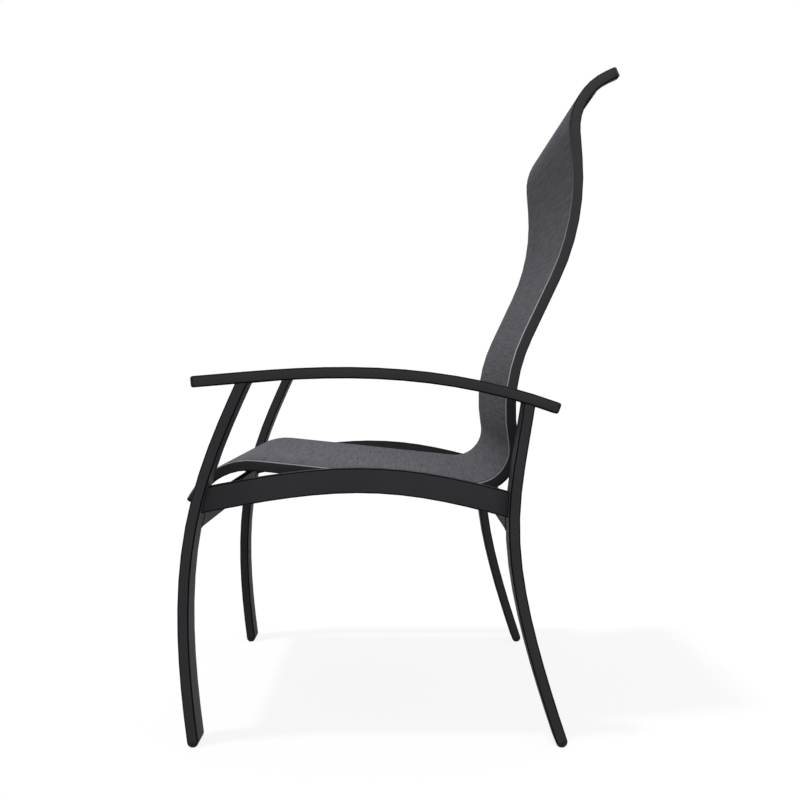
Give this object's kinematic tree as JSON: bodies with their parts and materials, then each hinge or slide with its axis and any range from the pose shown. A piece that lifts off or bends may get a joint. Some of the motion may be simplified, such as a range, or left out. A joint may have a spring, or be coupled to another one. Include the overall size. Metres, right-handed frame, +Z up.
{
  "type": "sling patio chair",
  "caption": "Stationary high-back patio dining chair with a woven sling held in grooved side rails, and a frame of bent flat tube with arched arms and curved legs.",
  "frame": {"origin": "on the floor, below the middle of the chair's bounding box", "axes": "+Z up; -X is where a sitter's knees point; +X towards the back; -Y is the side nearest the camera in the picture"},
  "size_m": [0.7333, 0.675, 1.128],
  "materials": {
    "frame_coat": "satin black powder coat on aluminium tube",
    "sling_rail_coat": "satin black powder coat on aluminium extrusion",
    "sling_weave": "coated yarn, plain weave, grey",
    "end_caps": "moulded black nylon",
    "glides": "moulded black nylon, worn smooth",
    "splines": "extruded vinyl rod",
    "bolts": "black oxide"
  },
  "bodies": {
    "root": {"left_arm": "frame_coat", "left_front_leg": "frame_coat", "left_rear_leg": "frame_coat", "left_side_rail": "frame_coat", "left_arm_front_cap": "end_caps", "left_arm_rear_cap": "end_caps", "left_front_foot": "glides", "left_rear_foot": "glides", "right_arm": "frame_coat", "right_front_leg": "frame_coat", "right_rear_leg": "frame_coat", "right_side_rail": "frame_coat", "right_arm_front_cap": "end_caps", "right_arm_rear_cap": "end_caps", "right_front_foot": "glides", "right_rear_foot": "glides", "front_cross_rail": "frame_coat", "rear_cross_rail": "frame_coat", "left_sling_rail": "sling_rail_coat", "left_sling_spline": "splines", "left_rail_front_cap": "end_caps", "left_rail_head_cap": "end_caps", "left_front_bolt": "bolts", "left_front_spacer": "end_caps", "left_rear_bolt": "bolts", "left_rear_spacer": "end_caps", "right_sling_rail": "sling_rail_coat", "right_sling_spline": "splines", "right_rail_front_cap": "end_caps", "right_rail_head_cap": "end_caps", "right_front_bolt": "bolts", "right_front_spacer": "end_caps", "right_rear_bolt": "bolts", "right_rear_spacer": "end_caps", "sling_fabric": "sling_weave", "seat_spreader": "frame_coat", "seat_spreader_left_plug": "end_caps", "seat_spreader_right_plug": "end_caps", "back_spreader": "frame_coat", "back_spreader_left_plug": "end_caps", "back_spreader_right_plug": "end_caps", "head_spreader": "frame_coat", "head_spreader_left_plug": "end_caps", "head_spreader_right_plug": "end_caps"}
  },
  "joints": []
}
